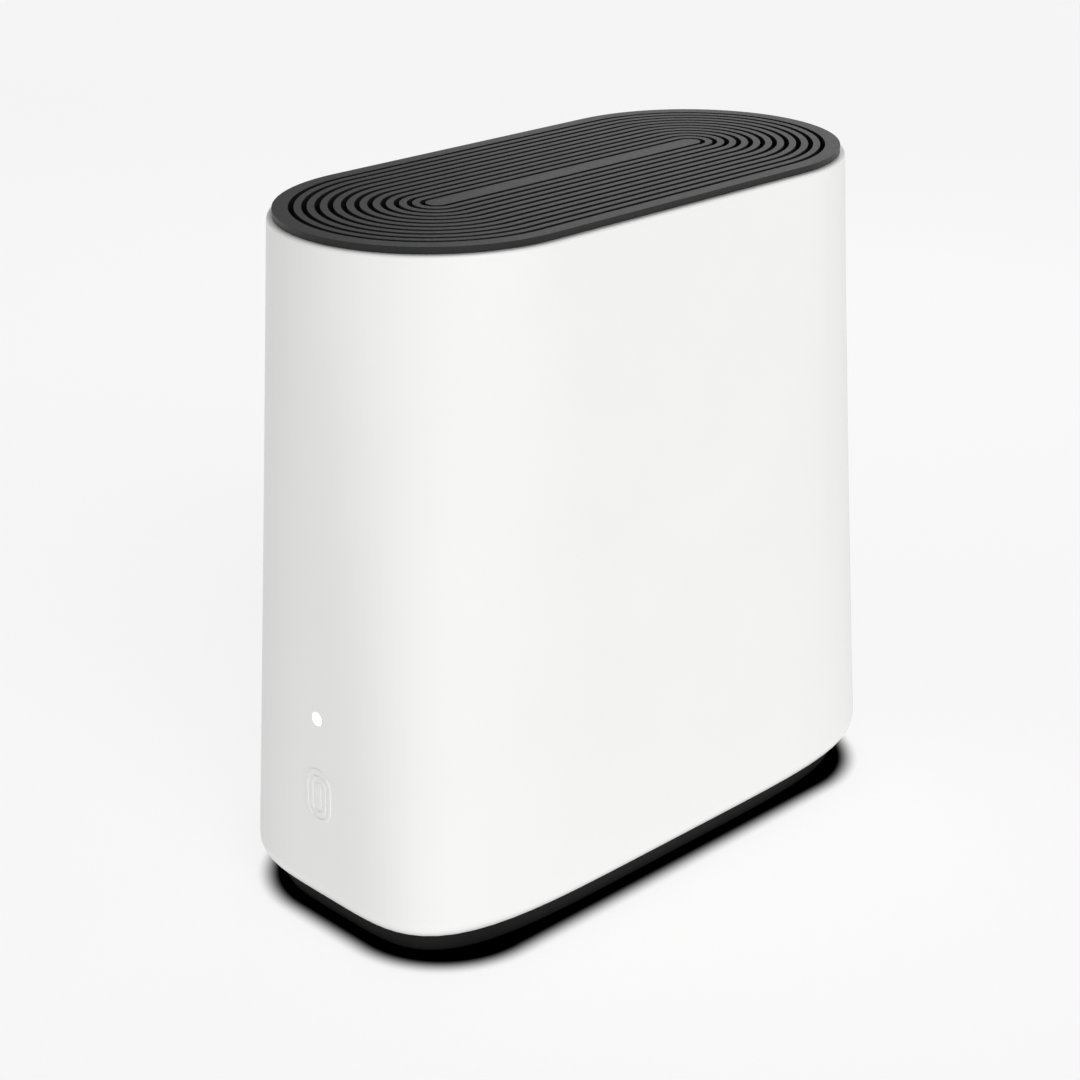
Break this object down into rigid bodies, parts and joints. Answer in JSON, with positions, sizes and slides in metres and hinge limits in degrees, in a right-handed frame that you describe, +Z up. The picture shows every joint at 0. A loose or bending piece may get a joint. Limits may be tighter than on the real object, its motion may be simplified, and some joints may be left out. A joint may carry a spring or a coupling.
{
  "type": "wireless router",
  "caption": "Stand-up wireless router: tapered white sleeve with rounded ends, ribbed black top vent, recessed black base, status light in front, port bay and buttons behind.",
  "frame": {"origin": "on the table under the middle of the base, at the undersides of the feet", "axes": "+Z up, -Y towards the front with the status light, +Y towards the port bay, +X towards the right side seen from the front"},
  "size_m": [0.1162, 0.2354, 0.2394],
  "materials": {
    "white_plastic": "satin white moulded plastic",
    "vent_plastic": "finely textured charcoal plastic",
    "black_plastic": "matte black moulded plastic",
    "foot_rubber": "matte black rubber",
    "grey_plastic": "mid grey moulded plastic",
    "circuit_board": "green solder mask over glass laminate",
    "chip_resin": "black moulding resin",
    "aluminium": "bare extruded aluminium",
    "tinned_steel": "bright tinned sheet steel",
    "screw_steel": "zinc plated steel",
    "thermal_pad": "soft grey-blue silicone pad",
    "yellow_plastic": "yellow moulded plastic",
    "red_plastic": "red moulded plastic",
    "label_film": "plain silver-grey film, blank",
    "light_guide": "frosted clear plastic, lit white from behind",
    "led": "white light-emitting diode",
    "cable_jacket": "thin black jacket"
  },
  "bodies": {
    "case": {"antenna_1": "circuit_board", "antenna_2": "circuit_board", "antenna_3": "circuit_board", "antenna_4": "circuit_board", "antenna_lead_1": "cable_jacket", "antenna_lead_2": "cable_jacket", "antenna_lead_3": "cable_jacket", "antenna_lead_4": "cable_jacket", "base": "black_plastic", "base_screw_1": "screw_steel", "base_screw_2": "screw_steel", "base_screw_3": "screw_steel", "base_screw_4": "screw_steel", "board_screw_1": "screw_steel", "board_screw_2": "screw_steel", "board_screw_3": "screw_steel", "board_screw_4": "screw_steel", "chassis": "grey_plastic", "data_socket": "tinned_steel", "fibre_module_cage": "tinned_steel", "foot_front_left": "foot_rubber", "foot_front_right": "foot_rubber", "foot_rear_left": "foot_rubber", "foot_rear_right": "foot_rubber", "heat_sink": "aluminium", "heat_sink_screw_1": "screw_steel", "heat_sink_screw_2": "screw_steel", "heat_sink_screw_3": "screw_steel", "heat_sink_screw_4": "screw_steel", "heat_spreader": "aluminium", "lan_jack_1": "yellow_plastic", "lan_jack_2": "yellow_plastic", "lan_jack_3": "yellow_plastic", "lan_jack_4": "yellow_plastic", "light_board": "circuit_board", "light_pipe": "light_guide", "main_board": "circuit_board", "memory_chip_1": "chip_resin", "memory_chip_2": "chip_resin", "pairing_switch": "chip_resin", "phone_jack_1": "grey_plastic", "phone_jack_2": "grey_plastic", "port_panel": "black_plastic", "power_capacitor": "aluminium", "power_jack": "black_plastic", "processor": "chip_resin", "processor_pad": "thermal_pad", "radio_can_high_band": "tinned_steel", "radio_can_low_band": "tinned_steel", "radio_can_mid_band": "tinned_steel", "rating_label": "label_film", "rear_pad": "thermal_pad", "reset_switch": "chip_resin", "shell": "white_plastic", "status_led": "led", "vent_plate": "vent_plastic", "wan_jack": "red_plastic"},
    "pairing_button": {"pairing_button": "white_plastic"},
    "reset_button": {"reset_button": "red_plastic"}
  },
  "joints": [
    {"name": "pairing_press", "type": "slide", "parent": "case", "child": "pairing_button", "axis": [0, -1, 0], "range_m": [0, 0.0009], "stiffness_N_per_m": 900, "springref_m": -0.0015},
    {"name": "reset_press", "type": "slide", "parent": "case", "child": "reset_button", "axis": [0, -1, 0], "range_m": [0, 0.0006], "stiffness_N_per_m": 900, "springref_m": -0.0015}
  ]
}
